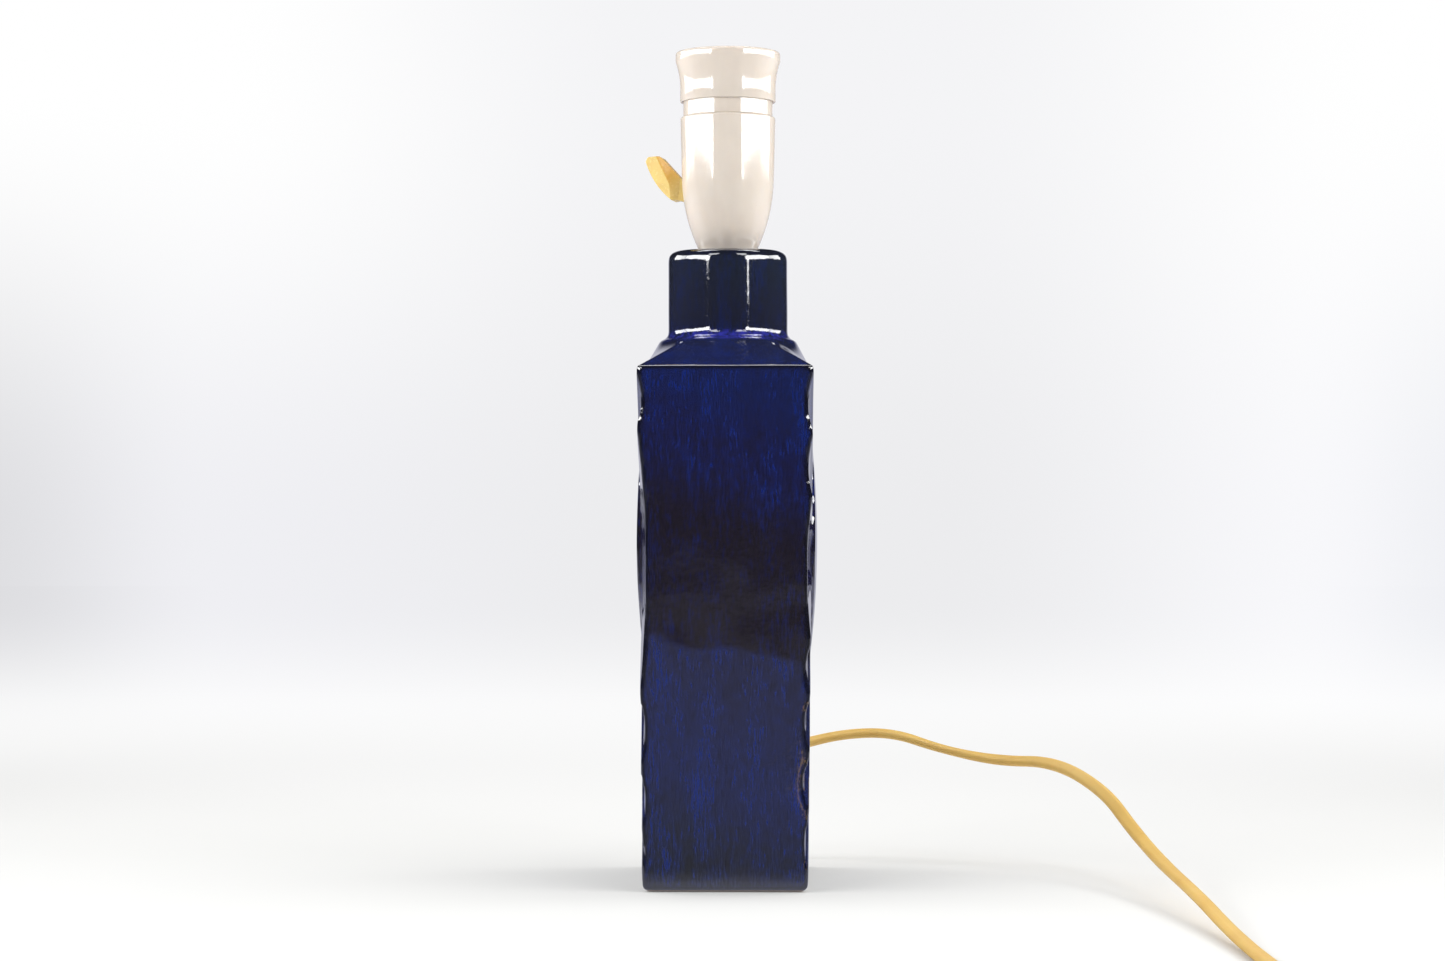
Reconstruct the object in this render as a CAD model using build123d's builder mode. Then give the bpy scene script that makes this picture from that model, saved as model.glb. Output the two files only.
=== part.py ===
import os
from math import atan2, cos, degrees, hypot, pi, radians, sin, sqrt, tan

from build123d import *

os.makedirs("parts", exist_ok=True)

# Glazed body: a tall box that widens upwards, a shoulder and a round neck
base_half_width = 33.6
top_half_width = 35.9
base_half_depth = 55.0
top_half_depth = 57.0
side_height = 212.5
shoulder_rise = 13.0
neck_height = 37.5
neck_radius = 25.0
neck_cove_radius = 3.5
neck_rim_radius = 3.6
body_wall = 6.5
foot_rounding = 3.0
corner_rounding = 1.4
nipple_hole_radius = 5.3
shoulder_inset = 0.6

# Relief on the two broad faces: scooped rays around an oval boss
boss_half_width = 27.0
boss_half_height = 44.0
boss_offset = 9.0
boss_height_share = 0.647
boss_stand = 2.4
boss_dome_radius = 400.0
boss_rounding = 1.0
boss_root = 4.5
boss_overlap_share = 0.97
ridge_width = 2.2
scoop_inner_depth = 1.5
# Ridge ends up each edge as shares of the side height, and depths as shares of the deepest scoop
left_ridge_shares = (0, 0.126, 0.243, 0.361, 0.467, 0.753, 0.877, 1)
left_depth_shares = (0.54, 0.80, 0.66, 0.54, 0.51, 0.51, 0.66)
right_ridge_shares = (0, 0.074, 0.203, 0.355, 0.892, 1)
right_depth_shares = (0.40, 0.49, 0.51, 1, 0.57)
top_ridge_shares = (-1, -0.30, 0.34, 1)
bottom_ridge_shares = (-1, -0.36, 0.28, 1)
end_depth_shares = (0.55, 0.5, 0.55)
deepest_scoop = 3.5

# Cord: flat twin flex, drawn as a tube of its width
cord_diameter = 5.6
cord_hole_radius = 4.2
cord_hole_height = 45.0
bush_flange_radius = 6.5
bush_flange_thickness = 1.8
bush_rounding = 0.6
cord_arc_share = 0.45

# Threaded entry tube through the neck top, with its washer and nut
nipple_radius = 5.0
nipple_bore_radius = 3.6
nipple_above = 10.0
washer_radius = 12.0
washer_thickness = 1.6
nut_across_flats = 14.0
nut_thickness = 4.0
nipple_past_nut = 1.4
grub_radius = 1.5
grub_length = 7.0

# Lampholder cap, sleeve and shade ring
cap_foot_radius = 11.9
cap_belly_radius = 17.4
cap_shoulder_radius = 19.35
cap_radius = 20.0
cap_height = 56.6
cap_belly_height = 15.3
cap_shoulder_height = 30.0
cap_wall = 2.0
cap_boss_height = 10.0
cap_mouth_depth = 9.0
flange_thickness = 2.0
sleeve_radius = 18.15
sleeve_wall = 2.2
sleeve_above_cap = 25.9
sleeve_lip = 1.3
sleeve_lip_thickness = 1.8
shade_gap = 6.4
ring_height = 21.0
ring_radius = 20.1
ring_flare_radius = 22.05
ring_skirt_height = 5.5
ring_rim_rounding = 1.2
ring_inner_chamfer = 1.4
cap_rim_rounding = 0.8
grub_azimuth = 90.0

# Insulating block with the lamp contacts
block_radius = 15.2
block_below_flange = 12.6
block_above_flange = 11.2
shell_bore_radius = 13.25
shell_wall = 0.4
shell_height = 19.0
shell_lip = 0.6
strip_thickness = 0.5
strip_width = 5.0
shell_contact_azimuth = 45.0
centre_contact_rise = 3.2
centre_contact_length = 16.0
terminal_length = 7.0
terminal_width = 6.0
terminal_height = 8.0
terminal_distance = 9.4
terminal_spread = 45.0
terminal_screw_radius = 1.6
terminal_screw_head = 2.0
insert_screw_radius = 1.4
insert_screw_head_radius = 2.4
insert_screw_head = 1.6
insert_screw_length = 6.0
insert_screw_distance = 9.5
socket_recess_radius = 12.6
socket_recess_depth = 4.4
wire_radius = 1.2

# Toggle switch
lever_azimuth = 170.0
lever_rest_angle = 36.1
lever_range = 50.0
pivot_distance = 13.4
pivot_height = 23.0
hub_radius = 3.0
hub_width = 7.0
blade_width = 11.0
blade_length = 26.5
blade_belly = 7.0
blade_top_width = 6.6
blade_foot_width = 8.6
blade_tip_rounding = 1.3
# Places along the lever as shares of the blade's length, and across it as shares of its belly
blade_heel_shares = (0.21, -0.74)
blade_shoulder_shares = (0.389, 0.436)
blade_crest_shares = (0.842, 0.77)
blade_tip_shares = (1, 0.3)
blade_nose_shares = (0.985, 0)
blade_belly_shares = (0.63, -0.72)
blade_foot_shares = (0.28, -0.96)
crease_tip_shares = (0.842, 0.53)
crease_middle_shares = (0.453, -0.27)
nose_length = 5.4
nose_thickness = 2.2
nose_width = 5.0
bridge_thickness = 0.6
pin_radius = 1.2
lug_radius = 2.2
lug_thickness = 1.5
slot_gap = 0.4
bridge_height = 3.6
contact_distance = 7.7
contact_split = 1.4
leaf_back = 3.6

# Flat two-pin plug
plug_width = 26.0
plug_face_width = 35.3
plug_thickness = 13.7
plug_length = 30.0
plug_neck_length = 20.0
plug_neck_radius = 5.4
plug_neck_tip_radius = 3.9
plug_heel_width = 13.0
plug_waist_share = 0.4
plug_rounding = 2.0
plug_pin_radius = 2.0
plug_pin_length = 19.0
plug_pin_pitch = 18.6

# Coil of the put-away cord
coil_half_turns_in = 6
coil_half_turns_out = 5
coil_mean_radius = 32.0
coil_gap = 0.7
climb_in_share = 0.35
climb_out_share = 1.0
coil_lane_x = 188.0
coil_y = -428.0
tail_run = 16.0
coil_samples = 700

# Clearances
fit = 0.05
running = 0.3
over = 1.0

# Heights that follow
shoulder_top = side_height + shoulder_rise
neck_top = shoulder_top + neck_height
cap_top = neck_top + cap_height
ring_bottom = cap_top + shade_gap
flange_bottom = cap_top - cap_mouth_depth - flange_thickness
block_bottom = flange_bottom - block_below_flange
block_top = flange_bottom + flange_thickness + block_above_flange
contact_floor = block_top - socket_recess_depth
pivot_z = neck_top + pivot_height
nut_bottom = neck_top - body_wall - washer_thickness - nut_thickness
split_height = neck_top + nipple_above + cord_diameter / 2

# Cord hole in the back wall, square to its slight lean
back_lean = atan2(top_half_depth - base_half_depth, side_height)
bush_plane = Plane(origin=(0, base_half_depth + cord_hole_height * tan(back_lean), cord_hole_height),
                   x_dir=(1, 0, 0), z_dir=(0, cos(back_lean), -sin(back_lean)))
cord_exit = bush_plane.offset(bush_flange_thickness)


def rising_loft(levels):
    """Straight-sided solid through rectangles given as (height, half width, half depth)."""
    with BuildPart(mode=Mode.PRIVATE) as made:
        for height, half_width, half_depth in levels:
            with BuildSketch(Plane.XY.offset(height)):
                Rectangle(half_width * 2, half_depth * 2)
        loft(ruled=True)
    return made.part


def square_to_round(low, half_width, half_depth, high, radius):
    """Shoulder whose hips run from the corners to the circle's diagonal points."""
    with BuildPart(mode=Mode.PRIVATE) as made:
        with BuildSketch(Plane.XY.offset(low)):
            Rectangle(half_width * 2, half_depth * 2)
        with BuildSketch(Plane.XY.offset(high)):
            with BuildLine():
                for start in (45, 135, 225, 315):
                    CenterArc((0, 0), radius, start, 90)
            make_face()
        loft(ruled=True)
    return made.part


def broad_face(side):
    """Plane of one broad face: x to the viewer's right, y up the face, origin at the foot."""
    lean = degrees(atan2(top_half_width - base_half_width, side_height))
    normal = Vector(side, 0, 0).rotate(Axis.Y, side * lean)
    return Plane(origin=(side * base_half_width, 0, 0), x_dir=(0, side, 0), z_dir=normal)


def ridge_ends():
    """Where the ridges meet the edges of a face, in order, each with the depth of the next field."""
    half = top_half_depth
    ends = [(-half, side_height * share, depth)
            for share, depth in zip(left_ridge_shares[:0:-1], left_depth_shares[::-1])]
    ends += [(half * share, 0, depth) for share, depth in zip(bottom_ridge_shares, end_depth_shares)]
    ends += [(half, side_height * share, depth)
             for share, depth in zip(right_ridge_shares, right_depth_shares)]
    ends += [(-half * share, side_height, depth)
             for share, depth in zip(top_ridge_shares, end_depth_shares)]
    return ends


def scoop(face, bearing, spread, near, far, near_depth, far_depth):
    """Shallow trough in a face that widens outwards from the middle of the boss."""
    ray = face.x_dir * cos(bearing) + face.y_dir * sin(bearing)
    middle = face.from_local_coords(Vector(boss_offset, boss_height_share * side_height, 0))
    with BuildPart(mode=Mode.PRIVATE) as made:
        for reach, depth in ((near, near_depth), (far, far_depth)):
            half = reach * tan(spread) - ridge_width / 2
            plane = Plane(origin=middle + ray * reach, x_dir=face.z_dir.cross(ray), z_dir=ray)
            with BuildSketch(plane):
                with BuildLine():
                    ThreePointArc((-half, 0), (0, -depth), (half, 0))
                    Polyline((half, 0), (half, over), (-half, over), (-half, 0))
                make_face()
        loft(ruled=True)
    return made.part


def face_scoops(face):
    """All the troughs of one face, one between each pair of neighbouring ridges."""
    ends = ridge_ends()
    middle = Vector(boss_offset, boss_height_share * side_height)
    made = []
    for (u, v, depth), (next_u, next_v, _) in zip(ends, ends[1:] + ends[:1]):
        first, second = Vector(u, v) - middle, Vector(next_u, next_v) - middle
        start = atan2(first.Y, first.X)
        turn = (atan2(second.Y, second.X) - start) % (2 * pi)
        bearing, spread = start + turn / 2, turn / 2
        near = boss_half_width * boss_half_height / sqrt(
            (boss_half_height * cos(bearing)) ** 2 + (boss_half_width * sin(bearing)) ** 2)
        near *= boss_overlap_share
        far = max(first.length, second.length) * cos(spread) + deepest_scoop
        made.append(scoop(face, bearing, spread, near, far, scoop_inner_depth, depth * deepest_scoop))
    return made


def boss(face):
    """Oval boss with a slightly domed top, rooted in the wall."""
    middle = face.from_local_coords(Vector(boss_offset, boss_height_share * side_height, 0))
    plane = Plane(origin=middle, x_dir=face.x_dir, z_dir=face.z_dir)
    with BuildPart(mode=Mode.PRIVATE) as made:
        with BuildSketch(plane.offset(-boss_root)):
            Ellipse(boss_half_width, boss_half_height)
        extrude(amount=boss_root + boss_stand)
        with Locations(plane.offset(boss_stand - boss_dome_radius)):
            Sphere(boss_dome_radius, mode=Mode.INTERSECT)
        fillet(made.faces().filter_by(GeomType.SPHERE)[0].outer_wire().edges(), boss_rounding)
    return made.part


def cord_path(points):
    """Straight runs joined by tangent arcs, each as large as its two runs allow."""
    points = [Vector(*point) for point in points]
    radii = []
    for before, corner, after in zip(points, points[1:], points[2:]):
        turn = (corner - before).get_angle(after - corner)
        shorter = min((corner - before).length, (after - corner).length)
        radii.append(cord_arc_share * shorter / tan(radians(turn / 2)))
    return points, radii


def cord_tube(points, radius):
    """Round tube along a cord path."""
    points, radii = cord_path(points)
    with BuildPart(mode=Mode.PRIVATE) as made:
        with BuildLine() as path:
            FilletPolyline(*points, radius=radii)
        with BuildSketch(Plane(origin=path.line @ 0, z_dir=path.line % 0)):
            Circle(radius)
        sweep()
    length = path.wire().length
    print("arc radii", [round(value, 1) for value in radii], "length", round(length, 1))
    print("volume over section times length", round(made.part.volume / length / pi / radius ** 2, 4))
    return made.part


def rod(radius, low, high):
    """Round rod on the lamp's axis."""
    with BuildPart(mode=Mode.PRIVATE) as made:
        with BuildSketch(Plane.XY.offset(low)):
            Circle(radius)
        extrude(amount=high - low)
    return made.part


def tube(outer, inner, low, high):
    """Round tube on the lamp's axis."""
    with BuildPart(mode=Mode.PRIVATE) as made:
        with BuildSketch(Plane.XY.offset(low)):
            Circle(outer)
            Circle(inner, mode=Mode.SUBTRACT)
        extrude(amount=high - low)
    return made.part


def upright(azimuth, height=0):
    """Plane through the axis: x outwards along the azimuth, y up."""
    angle = radians(azimuth)
    return Plane(origin=(0, 0, height), x_dir=(cos(angle), sin(angle), 0), z_dir=(sin(angle), -cos(angle), 0))


def outward(azimuth, distance, height):
    """Plane that faces outwards along the azimuth at a distance from the axis."""
    angle = radians(azimuth)
    point = (distance * cos(angle), distance * sin(angle), height)
    return Plane(origin=point, x_dir=(-sin(angle), cos(angle), 0), z_dir=(cos(angle), sin(angle), 0))


# Glazed ceramic body
with BuildPart() as ceramic_body:
    add(rising_loft(((0, base_half_width, base_half_depth), (side_height, top_half_width, top_half_depth))))
    fillet(ceramic_body.edges().group_by(Axis.Z)[0], foot_rounding)
    fillet(ceramic_body.edges().group_by(SortBy.LENGTH)[-1], corner_rounding)
    add(square_to_round(side_height, top_half_width - shoulder_inset, top_half_depth - shoulder_inset,
                        shoulder_top, neck_radius + neck_cove_radius))
    with BuildSketch(Plane.XZ):
        with BuildLine():
            Line((0, shoulder_top), (neck_radius + neck_cove_radius, shoulder_top))
            RadiusArc((neck_radius + neck_cove_radius, shoulder_top),
                      (neck_radius, shoulder_top + neck_cove_radius), neck_cove_radius)
            Line((neck_radius, shoulder_top + neck_cove_radius), (neck_radius, neck_top - neck_rim_radius))
            RadiusArc((neck_radius, neck_top - neck_rim_radius),
                      (neck_radius - neck_rim_radius, neck_top), -neck_rim_radius)
            Line((neck_radius - neck_rim_radius, neck_top), (0, neck_top))
            Line((0, neck_top), (0, shoulder_top))
        make_face()
    revolve(axis=Axis.Z)
    for side in (1, -1):
        for trough in face_scoops(broad_face(side)):
            add(trough, mode=Mode.SUBTRACT)
        add(boss(broad_face(side)))
    add(rising_loft(((-over, base_half_width - body_wall, base_half_depth - body_wall),
                     (side_height - body_wall, top_half_width - body_wall, top_half_depth - body_wall))),
        mode=Mode.SUBTRACT)
    add(square_to_round(side_height - body_wall, top_half_width - body_wall, top_half_depth - body_wall,
                        shoulder_top - body_wall, neck_radius - body_wall), mode=Mode.SUBTRACT)
    add(rod(neck_radius - body_wall, shoulder_top - body_wall, neck_top - body_wall), mode=Mode.SUBTRACT)
    add(rod(nipple_hole_radius, neck_top - body_wall - over, neck_top + over), mode=Mode.SUBTRACT)
    with BuildSketch(bush_plane.offset(over)):
        Circle(cord_hole_radius)
    extrude(amount=-body_wall - over * 2, mode=Mode.SUBTRACT)
ceramic_body.part.label = "ceramic_body"
export_step(ceramic_body.part, "parts/ceramic_body.step")

# Bush that lines the cord hole
with BuildPart() as cord_bush:
    with BuildSketch(bush_plane):
        Circle(bush_flange_radius)
    extrude(amount=bush_flange_thickness)
    fillet(cord_bush.edges().group_by(Axis.Y)[-1], bush_rounding)
    with BuildSketch(bush_plane):
        Circle(cord_hole_radius - fit)
    extrude(amount=-body_wall - over)
    with BuildSketch(cord_exit):
        Circle(cord_diameter / 2 + running)
    extrude(amount=-bush_flange_thickness - body_wall - over * 2, mode=Mode.SUBTRACT)
cord_bush.part.label = "cord_bush"
export_step(cord_bush.part, "parts/cord_bush.step")

# Entry tube with a thread of M10, its washer under the neck top and its nut
with BuildPart() as entry_nipple:
    add(tube(nipple_radius, nipple_bore_radius, nut_bottom - nipple_past_nut, neck_top + nipple_above))
entry_nipple.part.label = "entry_nipple"
export_step(entry_nipple.part, "parts/entry_nipple.step")

with BuildPart() as lower_washer:
    add(tube(washer_radius, nipple_radius + fit, nut_bottom + nut_thickness, neck_top - body_wall))
lower_washer.part.label = "lower_washer"
export_step(lower_washer.part, "parts/lower_washer.step")

with BuildPart() as lock_nut:
    with BuildSketch(Plane.XY.offset(nut_bottom)):
        RegularPolygon(nut_across_flats / 2, 6, major_radius=False)
        Circle(nipple_radius + fit, mode=Mode.SUBTRACT)
    extrude(amount=nut_thickness)
lock_nut.part.label = "lock_nut"
export_step(lock_nut.part, "parts/lock_nut.step")


def blade_point(shares):
    """Point of the lever's outline, along and across it from the pivot."""
    return blade_length * shares[0], blade_belly * shares[1]


# Slot in the cap that lets the lever swing between its two stops
reach = cap_shoulder_radius - pivot_distance
lever_low_angle = lever_range - lever_rest_angle
slot_rise = (reach * sin(radians(lever_rest_angle)) + hub_radius) / cos(radians(lever_rest_angle)) + slot_gap
heel = blade_point(blade_heel_shares)
slot_drop = hypot(*heel) * sin(radians(lever_low_angle) - atan2(heel[1], heel[0])) + slot_gap
lever_plane = upright(lever_azimuth, pivot_z)

# Tulip-shaped moulded cap
with BuildPart() as holder_cap:
    with BuildSketch(Plane.XZ):
        with BuildLine():
            Line((0, neck_top), (cap_foot_radius, neck_top))
            ThreePointArc((cap_foot_radius, neck_top), (cap_belly_radius, neck_top + cap_belly_height),
                          (cap_shoulder_radius, neck_top + cap_shoulder_height))
            Polyline((cap_shoulder_radius, neck_top + cap_shoulder_height), (cap_radius, cap_top),
                     (0, cap_top), (0, neck_top))
        make_face()
    revolve(axis=Axis.Z)
    fillet(holder_cap.edges().group_by(Axis.Z)[-1], cap_rim_rounding)
    with BuildSketch(Plane.XZ):
        with BuildLine():
            inner_foot = neck_top + cap_boss_height
            inner_shoulder = cap_shoulder_radius - cap_wall
            Line((0, inner_foot), (cap_foot_radius, inner_foot))
            ThreePointArc((cap_foot_radius, inner_foot),
                          (cap_belly_radius - cap_wall, neck_top + cap_belly_height),
                          (inner_shoulder, neck_top + cap_shoulder_height))
            Polyline((inner_shoulder, neck_top + cap_shoulder_height), (inner_shoulder, flange_bottom),
                     (sleeve_radius + fit, flange_bottom), (sleeve_radius + fit, cap_top + over),
                     (0, cap_top + over), (0, inner_foot))
        make_face()
    revolve(axis=Axis.Z, mode=Mode.SUBTRACT)
    add(rod(nipple_radius + fit, neck_top - over, inner_foot + over), mode=Mode.SUBTRACT)
    with BuildSketch(lever_plane):
        with Locations((cap_radius, (slot_rise - slot_drop) / 2)):
            Rectangle((cap_radius - pivot_distance) * 2, slot_rise + slot_drop)
    extrude(amount=hub_width / 2 + slot_gap, both=True, mode=Mode.SUBTRACT)
    with BuildSketch(outward(grub_azimuth, 0, neck_top + cap_boss_height / 2)):
        Circle(grub_radius + fit)
    extrude(amount=cap_radius, mode=Mode.SUBTRACT)
holder_cap.part.label = "holder_cap"
export_step(holder_cap.part, "parts/holder_cap.step")

# Grub screw that locks the cap on the entry tube
with BuildPart() as nipple_grub_screw:
    with BuildSketch(outward(grub_azimuth, nipple_radius, neck_top + cap_boss_height / 2)):
        Circle(grub_radius)
    extrude(amount=grub_length)
nipple_grub_screw.part.label = "nipple_grub_screw"
export_step(nipple_grub_screw.part, "parts/nipple_grub_screw.step")

# Threaded sleeve that screws into the cap and carries the shade ring
sleeve_bottom = cap_top - cap_mouth_depth
sleeve_top = cap_top + sleeve_above_cap
with BuildPart() as holder_sleeve:
    add(tube(sleeve_radius, sleeve_radius - sleeve_wall, sleeve_bottom, sleeve_top))
    add(tube(sleeve_radius - sleeve_wall / 2, sleeve_radius - sleeve_wall - sleeve_lip,
             sleeve_top - sleeve_lip_thickness, sleeve_top))
holder_sleeve.part.label = "holder_sleeve"
export_step(holder_sleeve.part, "parts/holder_sleeve.step")

# Flared shade ring, screwed on the sleeve above the shade gap
flare_height = ring_height - (ring_flare_radius - ring_radius) * 2
with BuildPart() as shade_ring:
    with BuildSketch(Plane.XZ):
        with BuildLine():
            Polyline((sleeve_radius + fit, ring_bottom), (ring_radius, ring_bottom),
                     (ring_radius, ring_bottom + ring_skirt_height))
            TangentArc((ring_radius, ring_bottom + ring_skirt_height),
                       (ring_flare_radius, ring_bottom + flare_height), tangent=(0, 1))
            Polyline((ring_flare_radius, ring_bottom + flare_height),
                     (ring_flare_radius, ring_bottom + ring_height),
                     (sleeve_radius + fit, ring_bottom + ring_height), (sleeve_radius + fit, ring_bottom))
        make_face()
    revolve(axis=Axis.Z)
    rims = shade_ring.edges().filter_by(GeomType.CIRCLE).group_by(Axis.Z)[-1].sort_by(SortBy.RADIUS)
    fillet(rims[-1], ring_rim_rounding)
    rims = shade_ring.edges().filter_by(GeomType.CIRCLE).group_by(Axis.Z)[-1].sort_by(SortBy.RADIUS)
    chamfer(rims[0], ring_inner_chamfer)
shade_ring.part.label = "shade_ring"
export_step(shade_ring.part, "parts/shade_ring.step")

# Insulating block, clamped between the cap's ledge and the sleeve, with two lugs for the lever's pin
with BuildPart() as contact_block:
    add(rod(block_radius, block_bottom, block_top))
    add(rod(sleeve_radius, flange_bottom, flange_bottom + flange_thickness))
    for offset in (hub_width / 2 + running, -hub_width / 2 - running - lug_thickness):
        with BuildSketch(lever_plane.offset(offset)):
            with Locations((pivot_distance, (block_bottom - pivot_z) / 2)):
                Rectangle(lug_radius * 2, block_bottom - pivot_z)
            with Locations((pivot_distance, 0)):
                Circle(lug_radius)
                Circle(pin_radius + fit, mode=Mode.SUBTRACT)
        extrude(amount=lug_thickness)
    add(rod(socket_recess_radius, contact_floor, block_top + over), mode=Mode.SUBTRACT)
    for side in (1, -1):
        with BuildSketch(Plane.XY.offset(contact_floor - insert_screw_length)):
            with Locations((0, side * insert_screw_distance)):
                Circle(insert_screw_radius + fit)
        extrude(amount=insert_screw_length + over, mode=Mode.SUBTRACT)
contact_block.part.label = "contact_block"
export_step(contact_block.part, "parts/contact_block.step")

# Screws that hold the contacts down, heads in the block's recess
with BuildPart() as insert_screws:
    for side in (1, -1):
        with BuildSketch(Plane.XY.offset(contact_floor - insert_screw_length)):
            with Locations((0, side * insert_screw_distance)):
                Circle(insert_screw_radius)
        extrude(amount=insert_screw_length)
        with BuildSketch(Plane.XY.offset(contact_floor)):
            with Locations((0, side * insert_screw_distance)):
                Circle(insert_screw_head_radius)
        extrude(amount=insert_screw_head)
insert_screws.part.label = "insert_screws"
export_step(insert_screws.part, "parts/insert_screws.step")

# Threaded metal shell that takes the lamp cap, with a turned-out lip
with BuildPart() as lamp_thread_shell:
    shell_radius = shell_bore_radius + shell_wall
    add(tube(shell_radius, shell_bore_radius, block_top, block_top + shell_height))
    add(tube(shell_radius + shell_lip, shell_bore_radius, block_top + shell_height - shell_wall * 2,
             block_top + shell_height))
lamp_thread_shell.part.label = "lamp_thread_shell"
export_step(lamp_thread_shell.part, "parts/lamp_thread_shell.step")

# Contact tag that lies against the shell
with BuildPart() as shell_contact:
    with BuildSketch(upright(shell_contact_azimuth, block_top)):
        with Locations((shell_bore_radius + shell_wall + strip_thickness / 2, strip_width / 2)):
            Rectangle(strip_thickness, strip_width)
    revolve(axis=Axis.Z, revolution_arc=degrees(strip_width / shell_bore_radius))
shell_contact.part.label = "shell_contact"
export_step(shell_contact.part, "parts/shell_contact.step")


def strip(plane, points, width):
    """Bent metal strip along a centre line drawn in a plane."""
    with BuildPart(mode=Mode.PRIVATE) as made:
        with BuildSketch(plane):
            with BuildLine():
                Polyline(*points)
            trace(line_width=strip_thickness)
        extrude(amount=width / 2, both=True)
    return made.part


# Sprung centre contact in the block's recess
with BuildPart() as centre_contact:
    low = contact_floor + strip_thickness / 2
    half = centre_contact_length / 2
    add(strip(Plane.XZ, ((-half, low), (-half / 2, low), (-half / 8, low + centre_contact_rise),
                         (half / 3, low + centre_contact_rise)), strip_width))
centre_contact.part.label = "centre_contact"
export_step(centre_contact.part, "parts/centre_contact.step")

# Terminal blocks under the insulating block, with their screws
terminal_azimuths = [lever_azimuth + 180 + turn for turn in (-terminal_spread, terminal_spread)]
with BuildPart() as terminal_blocks:
    for azimuth in terminal_azimuths:
        face = outward(azimuth, terminal_distance - terminal_length / 2, block_bottom - terminal_height / 2)
        with BuildSketch(face):
            Rectangle(terminal_width, terminal_height)
        extrude(amount=terminal_length)
        with BuildSketch(face.offset(terminal_length / 2)):
            Circle(terminal_screw_radius + fit)
        extrude(amount=terminal_length, mode=Mode.SUBTRACT)
terminal_blocks.part.label = "terminal_blocks"
export_step(terminal_blocks.part, "parts/terminal_blocks.step")

with BuildPart() as terminal_screws:
    for azimuth in terminal_azimuths:
        face = outward(azimuth, terminal_distance, block_bottom - terminal_height / 2)
        with BuildSketch(face):
            Circle(terminal_screw_radius)
        extrude(amount=terminal_length / 2)
        with BuildSketch(face.offset(terminal_length / 2)):
            Circle(terminal_width / 2 - running)
        extrude(amount=terminal_screw_head)
terminal_screws.part.label = "terminal_screws"
export_step(terminal_screws.part, "parts/terminal_screws.step")

# Toggle lever at its upper stop: a bellied blade, bevelled along a crease on each side, and its hub
with BuildPart() as switch_lever:
    lever = Plane(origin=lever_plane.from_local_coords(Vector(pivot_distance, 0, 0)),
                  x_dir=lever_plane.x_dir.rotate(Axis((0, 0, 0), lever_plane.z_dir), lever_rest_angle),
                  z_dir=lever_plane.z_dir)
    shoulder, foot = blade_point(blade_shoulder_shares), blade_point(blade_foot_shares)
    with BuildSketch(lever):
        with BuildLine():
            ThreePointArc(blade_point(blade_nose_shares), blade_point(blade_belly_shares), foot)
            Polyline(foot, heel, shoulder, blade_point(blade_crest_shares), blade_point(blade_tip_shares),
                     blade_point(blade_nose_shares))
        make_face()
        fillet(vertices().sort_by(Axis.X)[-3:], blade_tip_rounding)
    extrude(amount=blade_width / 2, both=True)
    for side in (1, -1):
        crease_tip = Vector(*blade_point(crease_tip_shares), side * blade_width / 2)
        crease_middle = Vector(*blade_point(crease_middle_shares), side * blade_width / 2)
        top = Vector(*shoulder, side * blade_top_width / 2)
        for third in (top, Vector(*blade_point(blade_belly_shares), side * blade_foot_width / 2)):
            across = (crease_middle - crease_tip).cross(third - crease_tip)
            across = across * (1 if across.Z * side > 0 else -1)
            bevel = Plane(origin=lever.from_local_coords(crease_tip),
                          z_dir=lever.from_local_coords(across) - lever.origin)
            split(bisect_by=bevel, keep=Keep.BOTTOM)
        across = (Vector(*heel, side * hub_width / 2) - crease_middle).cross(top - crease_middle)
        across = across * (1 if across.Z * side > 0 else -1)
        bevel = Plane(origin=lever.from_local_coords(crease_middle),
                      z_dir=lever.from_local_coords(across) - lever.origin)
        split(bisect_by=bevel, keep=Keep.BOTTOM)
    with BuildSketch(lever):
        Circle(hub_radius)
    extrude(amount=hub_width / 2, both=True)
    with BuildSketch(lever):
        Polygon((0, hub_radius), (0, -hub_radius), heel, shoulder, align=None)
    extrude(amount=blade_top_width / 2, both=True)
    with BuildSketch(lever):
        with Locations((-nose_length / 2, 0)):
            Rectangle(nose_length, nose_thickness)
    extrude(amount=nose_width / 2, both=True)
    with BuildSketch(lever):
        Circle(pin_radius + fit)
    extrude(amount=hub_width, both=True, mode=Mode.SUBTRACT)
switch_lever.part.label = "switch_lever"
export_step(switch_lever.part, "parts/switch_lever.step")

# Contact bridge on the lever's nose
with BuildPart() as switch_bridge:
    with BuildSketch(lever):
        with Locations((-nose_length - bridge_thickness / 2, 0)):
            Rectangle(bridge_thickness, bridge_height)
    extrude(amount=nose_width / 2, both=True)
switch_bridge.part.label = "switch_bridge"
export_step(switch_bridge.part, "parts/switch_bridge.step")

# Pin that the lever turns on
with BuildPart() as switch_pin:
    with BuildSketch(lever):
        Circle(pin_radius)
    extrude(amount=hub_width / 2 + running + lug_thickness, both=True)
switch_pin.part.label = "switch_pin"
export_step(switch_pin.part, "parts/switch_pin.step")

# Fixed switch contacts, which end just clear of the bridge's sweep
sweep_radius = hypot(nose_length + bridge_thickness, bridge_height / 2) + running
contact_back = pivot_distance - contact_distance
contact_end = sqrt(sweep_radius ** 2 - (contact_back - strip_thickness) ** 2)
with BuildPart() as switch_contacts:
    for side in (1, -1):
        add(strip(lever_plane.offset(side * (nose_width + contact_split) / 4),
                  ((contact_distance, block_bottom - pivot_z), (contact_distance, contact_end)),
                  (nose_width - contact_split) / 2))
switch_contacts.part.label = "switch_contacts"
export_step(switch_contacts.part, "parts/switch_contacts.step")

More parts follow.
